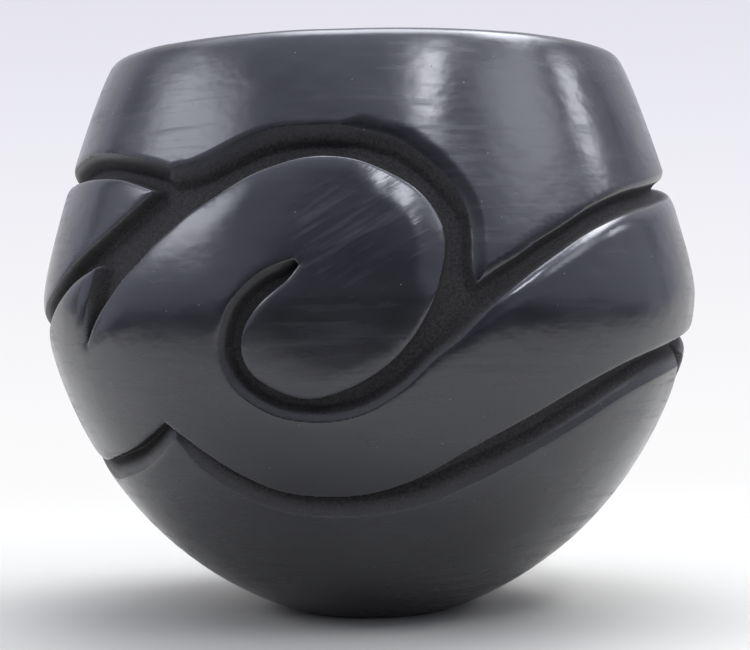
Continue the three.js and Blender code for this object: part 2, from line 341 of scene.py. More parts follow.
def share_of_depth(spots, cut):
    """For a few spots at like heights: the share of the full depth there, and the nearest edge."""
    lowest, highest = spots[:, 1].min() - REACH, spots[:, 1].max() + REACH
    near = (piece_starts[:, 1] > lowest) & (piece_starts[:, 1] < highest)
    if not near.any():
        return np.zeros(len(spots)), np.full(len(spots), REACH)
    starts, ends = piece_starts[near], piece_ends[near]

    # The way in metres from each spot to the closest place of each piece, and the section there.
    radius = on_wall(spots[:, 1])[0][:, None]
    ax, ay = (starts[:, 0] - spots[:, :1]) * radius, starts[:, 1] - spots[:, 1:]
    bx, by = (ends[:, 0] - starts[:, 0]) * radius, ends[:, 1] - starts[:, 1]
    share = np.clip(-(ax * bx + ay * by) / (bx * bx + by * by), 0, 1)
    cx, cy = ax + share * bx, ay + share * by
    far = np.hypot(cx, cy)
    at_edge, knee, knee_share, full, drawn, power, arris = (
        starts[:, k] + share * (ends[:, k] - starts[:, k]) for k in range(2, 9))

    # How wide the groove is across the spot, and how far its walls are squeezed for that.
    closest = far.argmin(axis=1)[:, None]
    nearest = np.take_along_axis(far, closest, 1)
    facing = cx * np.take_along_axis(cx, closest, 1) + cy * np.take_along_axis(cy, closest, 1)
    beyond = np.where(facing < OPPOSITE * far * nearest, far, np.inf).min(axis=1, keepdims=True)
    spread = far / MM / np.clip((beyond + nearest) / FULL_WIDTH, MOST_SQUEEZED, 1)

    # Inside, two straight slopes down to the floor; outside, the pillow and the arris.
    inner = np.clip((spread - knee) / (full - knee), 0, 1)
    wall = at_edge + (knee_share - at_edge) * np.clip(spread / knee, 0, 1) + (1 - knee_share) * inner
    pillow = (at_edge - arris) * np.clip(1 - far / MM / drawn, 0, 1) ** power
    pillow = pillow + arris * np.clip(1 - far / MM / ARRIS_WIDTH, 0, 1) ** 2
    return np.where(cut, wall.min(axis=1), pillow.max(axis=1)), nearest[:, 0]


band_depth = share_of_depth(BAND_SPOT, np.array([True]))[0][0] * CARVE_DEPTH
print(f"the band is {band_depth / MM:.1f} mm deep there")

# %% How deep many spots lie
# Spots come row by row, so a block of them lies at like heights and meets only a few edges.
BLOCK = 2500


def carve(spots):
    """The share of the full depth, whether the spot is cut, and the nearest edge, for many spots."""
    cut = inside_grooves(spots)
    starts = range(0, len(spots), BLOCK)
    parts = [share_of_depth(spots[k:k + BLOCK], cut[k:k + BLOCK]) for k in starts]
    depth, nearest = (np.concatenate(column) for column in zip(*parts))
    return depth, cut, nearest


belly_degrees = np.arange(-90, 90)
belly_line = on_jar(np.column_stack([belly_degrees, 0 * belly_degrees]))
print(f"{carve(belly_line)[1].mean():.0%} of the way round the belly is cut")

# %% [markdown]
# The skin is a net of small squares over the wall, bent inwards by that depth. A plain face needs
# only a coarse net; the walls of the grooves, and the clay that is drawn down beside them, need one
# three times finer to come out crisp. Cutting the grooves with a boolean would leave sharp edges and
# slivers, which glossy clay shows at once. One repeat of the design is worked out and copied round.

# %% A coarse net over the carved part of the wall
CELL = 0.76 * MM
FINER = 3
CARVED_FROM, CARVED_TO = 18 * MM, 95 * MM
COLUMNS = round(TURN * BELLY_RADIUS / CELL)
first_row, last_row = along_at(CARVED_FROM), along_at(CARVED_TO)
ROWS = round((last_row - first_row) / CELL)
net_turns = -TURN / 2 + TURN * np.arange(COLUMNS * FINER) / (COLUMNS * FINER)
net_alongs = np.linspace(first_row, last_row, ROWS * FINER + 1)
turn_net, along_net = np.meshgrid(net_turns, net_alongs)
depth_net, cut_net = np.zeros(turn_net.shape), np.zeros(turn_net.shape, bool)


def carve_net(which):
    """Works out the depth at these knots of the net, and gives back how near an edge each one is."""
    spots = np.column_stack([turn_net[which], along_net[which]])
    depth_net[which], cut_net[which], nearest = carve(spots)
    return nearest


coarse = np.zeros(turn_net.shape, bool)
coarse[::FINER, ::FINER] = True
near_here = carve_net(coarse).reshape(ROWS + 1, COLUMNS)
depth_here, cut_here = depth_net[::FINER, ::FINER], cut_net[::FINER, ::FINER]
print(f"{COLUMNS * REPEATS} x {ROWS} squares")

# %% Where the net is made finer
EDGE_WIDTH = 1.1 * CELL
FLAT_FLOOR = 0.97
SLOPE_WIDTH, SLOPE_SHARE = 2.5 * MM, 0.1
FACET_WIDTH, FACET_SHARE = 1.2 * MM, 0.004
groove_wall = (near_here < EDGE_WIDTH) | cut_here & (depth_here < FLAT_FLOOR)
slope = (near_here < SLOPE_WIDTH) & (depth_here > SLOPE_SHARE)
facet = (near_here < FACET_WIDTH) & (depth_here > FACET_SHARE)
steep = groove_wall | slope | facet
steep = steep | np.roll(steep, -1, axis=1)
finer_cells = steep[:-1] | steep[1:]

used = coarse.copy()
for row, column in np.argwhere(finer_cells):
    columns = np.arange(column * FINER, column * FINER + FINER + 1) % used.shape[1]
    used[row * FINER:row * FINER + FINER + 1, columns] = True
carve_net(used & ~coarse)
print(f"{finer_cells.mean():.0%} of the squares made finer")

# %% [markdown]
# A hand-built wall is never a perfect round. The scraping and rubbing leave long shallow swells, a
# tenth of a millimetre or so, which the eye only finds in the wavering of the reflections. A sum of a
# few slow waves, drawn from a seeded chance, gives them, always inwards so that the jar keeps its
# size, and fading towards the foot so that it stands flat.

# %% Swells of the hand-made wall
SEED = 7
chance = np.random.default_rng(SEED)
SWELL = 0.06 * MM
SWELL_FADE = 20 * MM
WAVES = 24


def slow_wave(order):
    """Times round the jar, radians per metre along the wall, weight, and two shifts, by chance.

    A later wave may be shorter both ways, and weighs less."""
    return (int(chance.integers(1, 9 + order)), chance.uniform(20, 140 + 12 * order),
            1 / (2 + order / 4), chance.uniform(0, 2 * np.pi), chance.uniform(0, 2 * np.pi))


waves = [slow_wave(order) for order in range(WAVES)]


def swell(turn, along):
    """How far the wall lies inside its plain outline there."""
    total = sum(w * np.cos(m * turn + a) * np.cos(k * along + b) for m, k, w, a, b in waves)
    return SWELL * (1 + np.tanh(total)) * np.clip(along / SWELL_FADE, 0, 1)


belly_swell = swell(np.linspace(-np.pi, np.pi, COLUMNS), along_at(BELLY_HEIGHT))
print(f"swells at the belly {belly_swell.min() / MM:.3f} to {belly_swell.max() / MM:.3f} mm inwards")

# %% [markdown]
# The middle of the curl's face lay under the stone the longest, so it dips there by up to two
# millimetres. No outline shows that, but the bright sheet's reflection bends down over the face. One
# smooth bell-shaped dent gives it, longer above its middle than below, on each repeat.

# %% The rubbed hollow in the curl's face
HOLLOW_DEPTH = 2 * MM
HOLLOW_TURN, HOLLOW_OVER = np.radians(-5), -3 * MM
HOLLOW_REACH, HOLLOW_ABOVE, HOLLOW_BELOW = 9 * MM, 14 * MM, 7.5 * MM


def hollow(turn, along):
    """How much lower the face lies there."""
    round_it = (turn - HOLLOW_TURN + TURN / 2) % TURN - TURN / 2
    across = round_it * BELLY_RADIUS / HOLLOW_REACH
    up = along - along_at(BELLY_HEIGHT + HOLLOW_OVER)
    up = up / np.where(up > 0, HOLLOW_ABOVE, HOLLOW_BELOW)
    return HOLLOW_DEPTH * np.exp(-(across ** 2 + up ** 2) / 2)


print(f"{hollow(0, along_at(BELLY_HEIGHT)) / MM:.1f} mm lower at the front of the belly")

# %% [markdown]
# A mesh is a list of knots and a list of faces that name their knots by number. The whole skin is
# stored that way, from the foot up to the lip and down inside. Each knot also carries a number for
# the material: 0 where the clay is burnished, up to 1 where the dull ground shows.

# %% Knots, faces and what they carry
knots, ground, faces = [], [], []


def add_knots(places, ground_here):
    """Stores knots and gives back their numbers."""
    first = sum(map(len, knots))
    knots.append(places)
    ground.append(np.broadcast_to(ground_here, len(places)))
    return np.arange(first, first + len(places))


def round_places(radius, height, turn):
    """Places at a radius and a height, turned round from the front to the right."""
    return np.column_stack([radius * np.sin(turn), -radius * np.cos(turn), height + 0 * turn])


def wall_places(turn, along, depth):
    """Places on the wall, pressed or carved in under its plain outline."""
    radius, height, normal_out, normal_up = on_wall(along)
    under = depth + swell(turn, along) + hollow(turn, along)
    return round_places(radius - under * normal_out, height - under * normal_up, turn)


def join(lower_ring, upper_ring):
    """A band of squares between two rings of knots."""
    faces.append(np.column_stack([
        lower_ring, np.roll(lower_ring, -1), np.roll(upper_ring, -1), upper_ring]))


front = wall_places(np.zeros(1), along_at(BELLY_HEIGHT) * np.ones(1), 0)[0]
print("the skin at the front of the belly, in mm:", (front / MM).round(1))

# %% The knots of the carved part
# The stone slipped over the edges, so the ground starts half dull there and is all dull farther down.
DULL_AT_EDGE, DULL_FROM, DULL_OVER = 0.45, 0.25, 0.5
used_round = np.tile(used, REPEATS)
turn_round = np.hstack([turn_net + TURN * k for k in range(REPEATS)])
along_round, depth_round, cut_round = (np.tile(net, REPEATS) for net in (along_net, depth_net, cut_net))
dull = np.clip(DULL_AT_EDGE + (depth_round - DULL_FROM) / DULL_OVER, DULL_AT_EDGE, 1)
dull = np.where(cut_round, dull, 0)
number = np.full(used_round.shape, -1)
number[used_round] = add_knots(
    wall_places(turn_round[used_round], along_round[used_round], depth_round[used_round] * CARVE_DEPTH),
    dull[used_round])
print(f"{len(knots[0])} knots in the carved part")


def at_net(rows, columns, offsets):
    """The knots at these offsets from each of these corners, one column per offset."""
    wide = number.shape[1]
    return np.column_stack([number[rows + up, (columns + over) % wide] for up, over in offsets])


# %% [markdown]
# Where a coarse square lies beside a finer one, the finer one's knots on their common side have to be
# in the coarse one's outline too, or a gap opens. Each of the four sides may be such a side, which
# makes 16 kinds of coarse square, and each kind is made in one go.

# %% The coarse squares
finer_round = np.tile(finer_cells, REPEATS)
no_row = np.zeros((1, finer_round.shape[1]), bool)
below, above = np.vstack([no_row, finer_round[:-1]]), np.vstack([finer_round[1:], no_row])
around = [below, np.roll(finer_round, -1, axis=1), above, np.roll(finer_round, 1, axis=1)]
along_side = range(FINER)
corner_walk = [
    [(0, k) for k in along_side], [(k, FINER) for k in along_side],
    [(FINER, FINER - k) for k in along_side], [(FINER - k, 0) for k in along_side]]
for kind in range(2 ** len(around)):
    finer_side = [bool(kind >> k & 1) for k in range(len(around))]
    match = ~finer_round
    offsets = []
    for side, beside, walk in zip(finer_side, around, corner_walk):
        match = match & (beside == side)
        offsets += walk if side else walk[:1]
    rows, columns = np.nonzero(match)
    faces.append(at_net(rows * FINER, columns * FINER, offsets))
print(f"{sum(map(len, faces))} coarse squares")

# %% The finer squares, each halved along its flatter diagonal
rows, columns = np.nonzero(finer_round)
depth_of = depth_round[used_round]
for up in range(FINER):
    for over in range(FINER):
        corners = at_net(rows * FINER + up, columns * FINER + over, [(0, 0), (0, 1), (1, 1), (1, 0)])
        depths = depth_of[corners]
        first = np.abs(depths[:, 0] - depths[:, 2]) <= np.abs(depths[:, 1] - depths[:, 3])
        faces.extend([corners[first][:, [0, 1, 2]], corners[first][:, [0, 2, 3]],
                      corners[~first][:, [0, 1, 3]], corners[~first][:, [1, 2, 3]]])
print(f"{sum(map(len, faces))} faces in the carved part")

# %% [markdown]
# Over the lip the skin follows a half round, and inside it runs down the wall at its full thickness
# to a flat floor. The inside was wiped with a wet hand and never rubbed with the stone, so it counts
# as ground, and the ground takes over in the last third of the way round the lip.

# %% The foot and the plain rim
FOOT_RINGS, RIM_RINGS, LIP_RINGS, INNER_RINGS = 12, 16, 20, 36
turns = turn_round[0, ::FINER]
full_ring = np.ones(len(turns))
rings = [add_knots(wall_places(turns, along * full_ring, 0), 0)
         for along in np.linspace(0, first_row, FOOT_RINGS)[:-1]]
foot_ring = rings[0]
for lower_ring, upper_ring in zip(rings, rings[1:] + [number[0, ::FINER]]):
    join(lower_ring, upper_ring)

rings = [number[-1, ::FINER]]
for along in np.linspace(last_row, wall_length[-1], RIM_RINGS)[1:]:
    rings.append(add_knots(wall_places(turns, along * full_ring, 0), 0))
print(f"{len(turns)} knots in each ring")

# %% The lip
lip_centre = wall_line[-1] - LIP_RADIUS * np.array([np.cos(LIP_LEAN), np.sin(LIP_LEAN)])
reach = LIP_RADIUS - swell(turns, wall_length[-1] * full_ring)
for angle in np.linspace(0, np.pi, LIP_RINGS)[1:]:
    radius = lip_centre[0] + reach * np.cos(LIP_LEAN + angle)
    height = lip_centre[1] + reach * np.sin(LIP_LEAN + angle)
    rings.append(add_knots(round_places(radius, height, turns), np.clip(angle / np.pi * 3 - 2, 0, 1)))
print(f"{len(rings)} rings up to the inner side of the lip")

# %% The inside and its floor
FLOOR_THICKNESS = 8 * MM
FLOOR_MARGIN = 1 * MM
FLOOR_SHARES = (1, 0.7, 0.4, 0.15)
inner_alongs = np.linspace(wall_length[-1], along_at(FLOOR_MARGIN), INNER_RINGS)[1:]
radius, height, normal_out, normal_up = on_wall(inner_alongs)
inner_radius, inner_height = radius - WALL * normal_out, height - WALL * normal_up
over_floor = inner_height > FLOOR_THICKNESS + FLOOR_MARGIN
inner_radius, inner_height = inner_radius[over_floor], inner_height[over_floor]
floor_edge = min(FOOT_RADIUS + WALL, inner_radius[-1] - FLOOR_MARGIN)
inner_radius = np.append(inner_radius, [floor_edge * share for share in FLOOR_SHARES])
inner_height = np.append(inner_height, [FLOOR_THICKNESS for share in FLOOR_SHARES])
for radius, height in zip(inner_radius, inner_height):
    rings.append(add_knots(round_places(radius, height, turns), 1))
for lower_ring, upper_ring in zip(rings, rings[1:]):
    join(lower_ring, upper_ring)
faces.append(rings[-1][None, :])
faces.append(foot_ring[None, ::-1])
print(f"inside floor {2 * floor_edge / MM:.1f} mm across")


# %% One closed mesh of all that is stored
def skin_mesh(name):
    """A mesh of all knots and faces stored so far."""
    face_groups = [group for group in faces if len(group)]
    loops = np.concatenate([group.ravel() for group in face_groups]).astype(np.int32)
    sizes = np.concatenate([np.full(len(group), group.shape[1]) for group in face_groups])
    places = np.vstack(knots)
    mesh = bpy.data.meshes.new(name)
    mesh.vertices.add(len(places))
    mesh.vertices.foreach_set("co", places.ravel())
    mesh.loops.add(len(loops))
    mesh.loops.foreach_set("vertex_index", loops)
    mesh.polygons.add(len(sizes))
    mesh.polygons.foreach_set("loop_start", (np.cumsum(sizes) - sizes).astype(np.int32))
    mesh.update(calc_edges=True)
    mesh.validate()
    mesh.shade_smooth()
    return mesh


mesh = skin_mesh("burnished_jar")
ground_layer = mesh.attributes.new("carved_ground", "FLOAT", "POINT")
ground_layer.data.foreach_set("value", np.concatenate(ground).astype(np.float32))
print(f"{len(mesh.vertices)} knots, {len(mesh.polygons)} faces")


# %% The jar, which stands for all five coils of the model
def add_object(name, data):
    """An object of that mesh, lamp or camera, in the scene."""
    added = bpy.data.objects.new(name, data)
    bpy.context.scene.collection.objects.link(added)
    return added


jar = add_object("burnished_jar", mesh)
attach(jar, "root")
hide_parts("base", "lower_coil", "belly_coil", "shoulder_coil", "rim_coil")
print("the jar in mm:", [round(size / MM, 1) for size in jar.dimensions])

# %% [markdown]
# The jar is burnished blackware: earthenware with a thin coat of fine slip, which a smooth stone
# pressed flat while it was damp, and a smoky fire filled with soot. To the eye it is near black with a
# faint blue cast and a soft shine, a little streaky where the stone passed. In the carved ground the
# slip was cut away: there the clay is open and sandy, and hardly shines at all.
# One Principled shader carries both, mixed by how deep the tool went.

# %% A helper for colours and one for nodes
def linear(hex_code):
    """An sRGB hex colour as linear red, green and blue, with alpha 1."""
    values = [int(hex_code[i:i + 2], 16) / 255 for i in (1, 3, 5)]
    return [v / 12.92 if v <= 0.04045 else ((v + 0.055) / 1.055) ** 2.4 for v in values] + [1]


def add_node(tree, kind, inputs=None, **settings):
    """Adds a node, sets its properties, and fills or links its inputs, by name or by number.

    A node as the value of an input stands for the first output that it shows."""
    node = tree.nodes.new(kind)
    for name, value in settings.items():
        setattr(node, name, value)
    shown = [socket for socket in node.inputs if socket.enabled]
    for name, value in (inputs or {}).items():
        socket = shown[name] if isinstance(name, int) else next(s for s in shown if s.name == name)
        if isinstance(value, bpy.types.Node):
            value = next(output for output in value.outputs if output.enabled)
        if isinstance(value, bpy.types.NodeSocket):
            tree.links.new(value, socket)
        else:
            socket.default_value = value
    return node


print(f"the hex grey #808080 is {linear('#808080')[0]:.3f} of white as light")

# %% What the clay reads from the skin
blackware = bpy.data.materials.new("burnished_blackware")
blackware.use_nodes = True
clay = blackware.node_tree
clay.nodes.clear()
carved = add_node(clay, "ShaderNodeAttribute", attribute_name="carved_ground").outputs["Fac"]
body = add_node(clay, "ShaderNodeTexCoord").outputs["Object"]
mesh.materials.append(blackware)
print("the material reads:", ground_layer.name)

# %% [markdown]
# The marks of the work are noise, each with grains of the size that the mark has on the jar. The
# stone left strokes 11 to 17 mm long and about a millimetre apart, which lean on the curl's face, and
# pressed unevenly in rubs of 6 by 4 mm; the slip lies in patches of 22 by 12 mm. The sand is really
# 0.1 to 0.2 mm coarse, too fine for the picture, so it is drawn at 0.45 mm. Painted maps would do as
# well, but noise needs no files, and its sizes can be read and changed.

# %% The marks of the stone, the slip and the sand
MARKS = {
    # one grain in mm from left to right, front to back and up, its detail, its roughness, its lean
    "rubs": ((5.88, 5.88, 3.85), 2.0, 0.5, 0),
    "patches": ((22.2, 22.2, 12.5), 2.0, 0.5, 0),
    "level_strokes": ((16.7, 16.7, 1.25), 2.5, 0.5, 0),
    "leaned_strokes": ((11.1, 11.1, 1.25), 1.5, 0.5, 30),
    "sand": ((0.4545, 0.4545, 0.4545), 3.0, 0.7, 0),
}
marks = {}
for mark, (size, detail, noise_roughness, lean) in MARKS.items():
    # A Mapping node of the kind TEXTURE turns the place back and divides it by the size of a grain.
    place = add_node(clay, "ShaderNodeMapping", {
        "Vector": body, "Rotation": (0, np.radians(-lean), 0), "Scale": Vector(size) * MM},
        vector_type="TEXTURE")
    marks[mark] = add_node(clay, "ShaderNodeTexNoise", {
        "Vector": place, "Scale": 1.0, "Detail": detail, "Roughness": noise_roughness})
print("marks:", ", ".join(marks))

# %% The strokes, and how strongly they show
CURL_MIDDLE = Vector((-1, -58, 72)) * MM
CURL_OUTER, CURL_INNER = 15 * MM, 10 * MM
PATCHY_STROKES, CURL_STROKES = (0.3, 1.0), 2.6
PATCHY_FROM, PATCHY_TO = 0.38, 0.6
off = add_node(clay, "ShaderNodeVectorMath", {0: body, 1: CURL_MIDDLE}, operation="DISTANCE")
on_curl = add_node(clay, "ShaderNodeMapRange", {
    "Value": off, "From Min": CURL_OUTER, "From Max": CURL_INNER})
strokes = add_node(clay, "ShaderNodeMapRange", {
    "Value": on_curl, "To Min": marks["level_strokes"], "To Max": marks["leaned_strokes"]})
patchy = add_node(clay, "ShaderNodeMapRange", {
    "Value": marks["patches"], "From Min": PATCHY_FROM, "From Max": PATCHY_TO,
    "To Min": PATCHY_STROKES[0], "To Max": PATCHY_STROKES[1]})
stroked = add_node(clay, "ShaderNodeMapRange", {
    "Value": on_curl, "To Min": patchy, "To Max": CURL_STROKES})
print(f"strokes lean {MARKS['leaned_strokes'][-1]} degrees on the curl's face")

# %% [markdown]
# Pale grains of the temper show as specks about 0.1 mm across. Drawn so, they would drop between the
# pixels, so they are twice as wide. Each is a spot round a seed of a Voronoi pattern, where a seed
# happens to lie in the skin.

# %% Colours: slip, sandy ground and specks
SPECKS_APART, SPECK_RADIUS = 3.4 * MM, 0.12 * MM
SPECK_BLUR = 0.3
# Nearly all noise lies between these two.
NOISE_LOW, NOISE_HIGH = 0.3, 0.7
speck_edge = SPECK_RADIUS / SPECKS_APART
seeds = add_node(clay, "ShaderNodeTexVoronoi", {"Vector": body, "Scale": 1 / SPECKS_APART})
specks = add_node(clay, "ShaderNodeMapRange", {
    "Value": seeds, "From Min": (1 + SPECK_BLUR) * speck_edge,
    "From Max": (1 - SPECK_BLUR) * speck_edge})
clouds, grit = (
    add_node(clay, "ShaderNodeMapRange", {
        "Value": marks[mark], "From Min": NOISE_LOW, "From Max": NOISE_HIGH})
    for mark in ("patches", "sand"))
slip_colour = add_node(clay, "ShaderNodeMix", {
    "Factor": clouds, "A": linear("#0b0b0d"), "B": linear("#1e1e20")}, data_type="RGBA")
sand_colour = add_node(clay, "ShaderNodeMix", {
    "Factor": grit, "A": linear("#1b1b1b"), "B": linear("#3d3c3b")}, data_type="RGBA")
clay_colour = add_node(clay, "ShaderNodeMix", {
    "Factor": carved, "A": slip_colour, "B": sand_colour}, data_type="RGBA")
colour = add_node(clay, "ShaderNodeMix", {
    "Factor": specks, "A": clay_colour, "B": linear("#626265")}, data_type="RGBA")
print(f"specks {2 * SPECK_RADIUS / MM:.2f} mm wide, from seeds {SPECKS_APART / MM:.1f} mm apart")

# %% [markdown]
# A matt fired clay has a roughness near 0.8, and a polished glaze one near 0.1. The stone brought the
# slip to about 0.2, with duller streaks where a stroke was missed, and the open ground stays near 0.7
# and gives back little light. The strokes and the rubs are also faintly felt as a relief.

# %% Shine: streaky on the slip, dull in the ground
SLIP_ROUGHNESS, STREAK_ROUGHNESS, GROUND_ROUGHNESS = (0.17, 0.27), 0.12, 0.7
SHINE_FROM, SHINE_TO = 0.35, 0.65
STREAK_FROM, STREAK_TO = 0.5, 0.72
SLIP_GLOSS, GROUND_GLOSS = 0.5, 0.12
shine = add_node(clay, "ShaderNodeMapRange", {
    "Value": marks["patches"], "From Min": SHINE_FROM, "From Max": SHINE_TO,
    "To Min": SLIP_ROUGHNESS[0], "To Max": SLIP_ROUGHNESS[1]})
streaks = add_node(clay, "ShaderNodeMapRange", {
    "Value": strokes, "From Min": STREAK_FROM, "From Max": STREAK_TO, "To Max": STREAK_ROUGHNESS})
streaky = add_node(clay, "ShaderNodeMath", {0: streaks, 1: stroked, 2: shine}, operation="MULTIPLY_ADD")
clay_roughness = add_node(clay, "ShaderNodeMapRange", {
    "Value": carved, "To Min": streaky, "To Max": GROUND_ROUGHNESS})
roughness = add_node(clay, "ShaderNodeMapRange", {
    "Value": specks, "To Min": clay_roughness, "To Max": GROUND_ROUGHNESS})
gloss = add_node(clay, "ShaderNodeMapRange", {
    "Value": carved, "To Min": SLIP_GLOSS, "To Max": GROUND_GLOSS})
print("roughness of the slip:", SLIP_ROUGHNESS, "and of the ground:", GROUND_ROUGHNESS)

# %% Relief too fine for the net
RUB_HEIGHT, STROKE_HEIGHT = 0.1 * MM, 0.02 * MM
SLIP_SAND_HEIGHT, GROUND_SAND_HEIGHT = 0.005 * MM, 0.1 * MM
stroke_relief = add_node(clay, "ShaderNodeMath", {0: strokes, 1: stroked}, operation="MULTIPLY")
sand_height = add_node(clay, "ShaderNodeMapRange", {
    "Value": carved, "To Min": SLIP_SAND_HEIGHT, "To Max": GROUND_SAND_HEIGHT})
rub_bump = add_node(clay, "ShaderNodeBump", {"Height": marks["rubs"], "Distance": RUB_HEIGHT})
stroke_bump = add_node(clay, "ShaderNodeBump", {
    "Height": stroke_relief, "Distance": STROKE_HEIGHT, "Normal": rub_bump})
sand_bump = add_node(clay, "ShaderNodeBump", {
    "Height": marks["sand"], "Distance": sand_height, "Normal": stroke_bump})
print(f"relief of the sand {GROUND_SAND_HEIGHT / MM:.1f} mm in the ground")

# %% [markdown]
# Fired clay bends light about as much as quartz, with an IOR near 1.55. The soot in the slip makes
# its reflections a little stronger, so it stands at 1.7. It is no metal, so metallic stays 0.

# %% Burnished blackware
IOR = 1.7
shader = add_node(clay, "ShaderNodeBsdfPrincipled", {
    "Base Color": colour, "Roughness": roughness, "IOR": IOR, "Specular IOR Level": gloss,
    "Specular Tint": linear("#f8f9ff"), "Normal": sand_bump})
add_node(clay, "ShaderNodeOutputMaterial", {"Surface": shader})
print(f"{blackware.name}: {len(clay.nodes)} nodes")

# %% [markdown]
# The jar stands on a pale sheet that sweeps up behind it. The sheet ends a hand's breadth in front of
# the jar, and its front edge curves back at both sides: it makes the line across the belly, where the
# bright sheet stops in the reflection and the dim room begins. So its shape was read off that line.
# Its card is matt, and it takes the jar's shadow. Well behind the jar, where no shadow falls, it
# glows with painted light for the camera and the glossy clay, as a lit backdrop would look: white at
# the table, a little darker and bluer higher up. More lamps would whiten it too, but they would also
# whiten the jar.

# %% White card
# How far behind the jar's middle, in metres, the white starts and is complete.
WHITE_FROM, WHITE_TO = 0.02, 0.3
# Over this height the painted glow turns from white to a darker, bluer lavender.
GLOW_FADE_HEIGHT = 0.22
CARD_ROUGHNESS, CARD_GLOSS = 0.9, 0.1


def new_material(name):
    """A material with nodes, its node tree and its Principled shader."""
    material = bpy.data.materials.new(name)
    material.use_nodes = True
    return material, material.node_tree, material.node_tree.nodes["Principled BSDF"]


def white_card():
    material, tree, card = new_material("white_card")
    card.inputs["Base Color"].default_value = linear("#bcbbb4")
    card.inputs["Roughness"].default_value = CARD_ROUGHNESS
    card.inputs["Specular IOR Level"].default_value = CARD_GLOSS
    place = add_node(tree, "ShaderNodeTexCoord").outputs["Object"]
    parts = add_node(tree, "ShaderNodeSeparateXYZ", {"Vector": place})
    # Painted light: the glow fades with height from white at the table to a darker, bluer lavender.
    glow_fade = add_node(tree, "ShaderNodeMapRange", {
        "Value": parts.outputs["Z"], "From Min": 0.0, "From Max": GLOW_FADE_HEIGHT})
    white = add_node(tree, "ShaderNodeMix", {
        "Factor": glow_fade, "A": linear("#fbfbfc"), "B": linear("#e5e4ef")}, data_type="RGBA")
    glow = add_node(tree, "ShaderNodeEmission", {"Color": white})
    path = add_node(tree, "ShaderNodeLightPath")
    seen = add_node(tree, "ShaderNodeMath", {
        0: path.outputs["Is Camera Ray"], 1: path.outputs["Is Glossy Ray"]}, operation="MAXIMUM")
    behind = add_node(tree, "ShaderNodeMapRange", {
        "Value": parts.outputs["Y"], "From Min": WHITE_FROM, "From Max": WHITE_TO},
        interpolation_type="SMOOTHSTEP")
    share = add_node(tree, "ShaderNodeMath", {0: seen, 1: behind}, operation="MULTIPLY")
    both = add_node(tree, "ShaderNodeMixShader", {0: share, 1: card, 2: glow})
    tree.links.new(both.outputs[0], tree.nodes["Material Output"].inputs["Surface"])
    return material


sheet_card = white_card()
print(f"{sheet_card.name}: {len(sheet_card.node_tree.nodes)} nodes")

# %% The pale sheet
SHEET_FRONT, SHEET_SIDE, SHEET_BACK = -0.19, 0.7, 0.6
FRONT_CURVE, FRONT_END = 2.2, 0.2
SHEET_HEIGHT, SHEET_BEND = 0.9, 0.25
SHEET_COLUMNS, BEND_ROWS = 57, 16


def pale_sheet():
    bend_start = SHEET_BACK - SHEET_BEND
    line = [(bend_start, 0.0)]
    for angle in np.linspace(0, np.pi / 2, BEND_ROWS)[1:]:
        line.append((bend_start + SHEET_BEND * np.sin(angle), SHEET_BEND - SHEET_BEND * np.cos(angle)))
    line.append((SHEET_BACK, SHEET_HEIGHT))
    across = np.linspace(-SHEET_SIDE, SHEET_SIDE, SHEET_COLUMNS)
    places = [(x, min(SHEET_FRONT + FRONT_CURVE * x * x, FRONT_END), 0.0) for x in across]
    places += [(x, y, z) for y, z in line for x in across]
    wide = len(across)
    squares = [(row * wide + k, row * wide + k + 1, row * wide + wide + k + 1, row * wide + wide + k)
               for row in range(len(line)) for k in range(wide - 1)]
    sheet_mesh = bpy.data.meshes.new("pale_sheet")
    sheet_mesh.from_pydata(places, [], squares)
    sheet_mesh.shade_smooth()
    sheet_mesh.materials.append(sheet_card)
    sheet = add_object("pale_sheet", sheet_mesh)
    return sheet


print(f"sheet of {len(pale_sheet().data.polygons)} squares")

# %% [markdown]
# Soft studio light gives the shoulder its upright streaks: a box at the left, a box and a narrow slit
# at the right, and a long strip under the ceiling, in front and to the right. Where each one stands
# follows from its streak: the sight line, mirrored in the wall there, points at the lamp. The three
# high boxes, overhead and behind at both sides, hardly show in the wall: they light the sheet.

# %% A lamp with soft edges
LAMP_COLOUR = (0.94, 0.95, 1)


def area_lamp(name, place, facing, wide, high, brightness, soft_edge, roll=0):
    """A rectangular lamp whose light fades over its edges; brightness 1 is a white card's."""
    data = bpy.data.lights.new(name, "AREA")
    data.shape = "RECTANGLE"
    data.size, data.size_y = wide, high
    data.energy = brightness * np.pi * wide * high
    data.color = LAMP_COLOUR
    data.use_nodes = True
    tree = data.node_tree
    across = add_node(tree, "ShaderNodeNewGeometry").outputs["Parametric"]
    sides = add_node(tree, "ShaderNodeSeparateXYZ", {"Vector": across})
    fades = []
    for side in ("X", "Y"):
        off_middle = add_node(tree, "ShaderNodeMath", {
            0: sides.outputs[side], 1: 0.5}, operation="SUBTRACT")
        size = add_node(tree, "ShaderNodeMath", {0: off_middle}, operation="ABSOLUTE")
        fades.append(add_node(tree, "ShaderNodeMapRange", {
            "Value": size, "From Min": 0.5, "From Max": 0.5 - soft_edge},
            interpolation_type="SMOOTHSTEP"))
    strength = add_node(tree, "ShaderNodeMath", {0: fades[0], 1: fades[1]}, operation="MULTIPLY")
    tree.links.new(strength.outputs[0], tree.nodes["Emission"].inputs["Strength"])
    lamp = add_object(name, data)
    lamp.location = place
    lamp.rotation_euler = (-facing).to_track_quat("Z", "Y").to_euler()
    lamp.rotation_euler.rotate_axis("Z", np.radians(roll))
    return lamp


print("colour of the lamps, a little blue:", LAMP_COLOUR)

# %% A softbox, placed by its sight line
LAMP_REACH = 1.5


def way_out(degrees_round, degrees_up):
    """The direction from the jar, degrees round from the front to the right and degrees up."""
    bearing, up = np.radians(degrees_round), np.radians(degrees_up)
    return Vector((np.sin(bearing) * np.cos(up), -np.cos(bearing) * np.cos(up), np.sin(up)))


